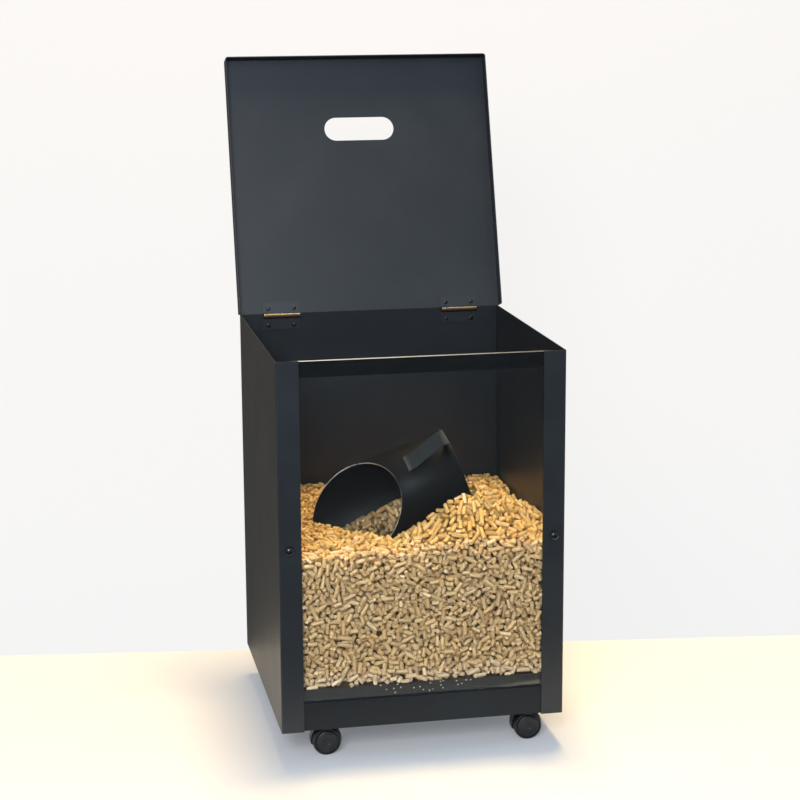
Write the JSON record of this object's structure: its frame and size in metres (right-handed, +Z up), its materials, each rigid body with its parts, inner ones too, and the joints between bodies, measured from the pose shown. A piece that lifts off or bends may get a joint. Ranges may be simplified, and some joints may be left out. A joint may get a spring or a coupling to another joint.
{
  "type": "pellet storage bin",
  "caption": "Black sheet-steel pellet bin on castors with a glass front, a hinged lid with a hand slot, a heap of wood pellets and a tube scoop.",
  "frame": {"origin": "on the floor under the middle of the box round the bin as pictured, with its lid open", "axes": "+Z up, the glass front faces -Y, +X is the bin's right-hand side as seen from the front"},
  "size_m": [0.4054, 0.5154, 0.9488],
  "materials": {
    "black_powder_coat": "satin black powder coat",
    "clear_glass": "clear float glass with polished edges",
    "black_rubber": "matte",
    "black_plastic": "moulded black nylon",
    "zinc_steel": "zinc plated",
    "dark_steel": "dark bronzed steel",
    "aged_brass": "aged brass",
    "wood_pellets": "loose pressed wood pellets"
  },
  "bodies": {
    "bin": {"side_panel_left": "black_powder_coat", "side_panel_right": "black_powder_coat", "back_panel": "black_powder_coat", "floor_panel": "black_powder_coat", "front_rail": "black_powder_coat", "top_front_rail": "black_powder_coat", "glass_clip_left": "black_powder_coat", "glass_clip_right": "black_powder_coat", "glass_pane": "clear_glass", "glass_seal": "black_rubber", "pellet_fill": "wood_pellets", "clip_screw_left": "black_plastic", "clip_nut_left": "zinc_steel", "hinge_body_leaf_left": "dark_steel", "hinge_pin_left": "aged_brass", "hinge_body_screw_left_a": "zinc_steel", "hinge_body_screw_left_b": "zinc_steel", "clip_screw_right": "black_plastic", "clip_nut_right": "zinc_steel", "hinge_body_leaf_right": "dark_steel", "hinge_pin_right": "aged_brass", "hinge_body_screw_right_a": "zinc_steel", "hinge_body_screw_right_b": "zinc_steel", "castor_front_left_plate": "zinc_steel", "castor_front_right_plate": "zinc_steel", "castor_rear_left_plate": "zinc_steel", "castor_rear_right_plate": "zinc_steel"},
    "lid": {"lid": "black_powder_coat", "hinge_lid_leaf_left": "dark_steel", "hinge_lid_screw_left_a": "zinc_steel", "hinge_lid_screw_left_b": "zinc_steel", "hinge_lid_leaf_right": "dark_steel", "hinge_lid_screw_right_a": "zinc_steel", "hinge_lid_screw_right_b": "zinc_steel"},
    "scoop": {"scoop_barrel": "black_powder_coat", "scoop_back": "black_powder_coat", "scoop_handle": "black_powder_coat"},
    "castor_front_left": {"castor_front_left_hood": "black_plastic", "castor_front_left_axle": "zinc_steel"},
    "wheel_front_left_front": {"castor_front_left_wheel_front": "black_plastic"},
    "wheel_front_left_rear": {"castor_front_left_wheel_rear": "black_plastic"},
    "castor_front_right": {"castor_front_right_hood": "black_plastic", "castor_front_right_axle": "zinc_steel"},
    "wheel_front_right_front": {"castor_front_right_wheel_front": "black_plastic"},
    "wheel_front_right_rear": {"castor_front_right_wheel_rear": "black_plastic"},
    "castor_rear_left": {"castor_rear_left_hood": "black_plastic", "castor_rear_left_axle": "zinc_steel"},
    "wheel_rear_left_front": {"castor_rear_left_wheel_front": "black_plastic"},
    "wheel_rear_left_rear": {"castor_rear_left_wheel_rear": "black_plastic"},
    "castor_rear_right": {"castor_rear_right_hood": "black_plastic", "castor_rear_right_axle": "zinc_steel"},
    "wheel_rear_right_front": {"castor_rear_right_wheel_front": "black_plastic"},
    "wheel_rear_right_rear": {"castor_rear_right_wheel_rear": "black_plastic"}
  },
  "joints": [
    {"name": "lid_hinge", "type": "hinge", "parent": "bin", "child": "lid", "pos_m": [0, 0.13523, 0.5653], "axis": [-1, 0, 0], "range_deg": [-107.2, 0]},
    {"name": "scoop_lift", "type": "slide", "parent": "bin", "child": "scoop", "axis": [0, 0, 1], "range_m": [0, 0.4]},
    {"name": "castor_front_left_swivel", "type": "hinge", "parent": "bin", "child": "castor_front_left", "pos_m": [-0.145, -0.20666, 0.045], "axis": [0, 0, 1], "continuous": true},
    {"name": "wheel_front_left_front_spin", "type": "hinge", "parent": "castor_front_left", "child": "wheel_front_left_front", "pos_m": [-0.1325, -0.20666, 0.02], "axis": [0, 1, 0], "continuous": true},
    {"name": "wheel_front_left_rear_spin", "type": "hinge", "parent": "castor_front_left", "child": "wheel_front_left_rear", "pos_m": [-0.1325, -0.20666, 0.02], "axis": [0, 1, 0], "continuous": true},
    {"name": "castor_front_right_swivel", "type": "hinge", "parent": "bin", "child": "castor_front_right", "pos_m": [0.145, -0.20666, 0.045], "axis": [0, 0, 1], "continuous": true},
    {"name": "wheel_front_right_front_spin", "type": "hinge", "parent": "castor_front_right", "child": "wheel_front_right_front", "pos_m": [0.1575, -0.20666, 0.02], "axis": [0, 1, 0], "continuous": true},
    {"name": "wheel_front_right_rear_spin", "type": "hinge", "parent": "castor_front_right", "child": "wheel_front_right_rear", "pos_m": [0.1575, -0.20666, 0.02], "axis": [0, 1, 0], "continuous": true},
    {"name": "castor_rear_left_swivel", "type": "hinge", "parent": "bin", "child": "castor_rear_left", "pos_m": [-0.145, 0.09734, 0.045], "axis": [0, 0, 1], "continuous": true},
    {"name": "wheel_rear_left_front_spin", "type": "hinge", "parent": "castor_rear_left", "child": "wheel_rear_left_front", "pos_m": [-0.1325, 0.09734, 0.02], "axis": [0, 1, 0], "continuous": true},
    {"name": "wheel_rear_left_rear_spin", "type": "hinge", "parent": "castor_rear_left", "child": "wheel_rear_left_rear", "pos_m": [-0.1325, 0.09734, 0.02], "axis": [0, 1, 0], "continuous": true},
    {"name": "castor_rear_right_swivel", "type": "hinge", "parent": "bin", "child": "castor_rear_right", "pos_m": [0.145, 0.09734, 0.045], "axis": [0, 0, 1], "continuous": true},
    {"name": "wheel_rear_right_front_spin", "type": "hinge", "parent": "castor_rear_right", "child": "wheel_rear_right_front", "pos_m": [0.1575, 0.09734, 0.02], "axis": [0, 1, 0], "continuous": true},
    {"name": "wheel_rear_right_rear_spin", "type": "hinge", "parent": "castor_rear_right", "child": "wheel_rear_right_rear", "pos_m": [0.1575, 0.09734, 0.02], "axis": [0, 1, 0], "continuous": true}
  ]
}
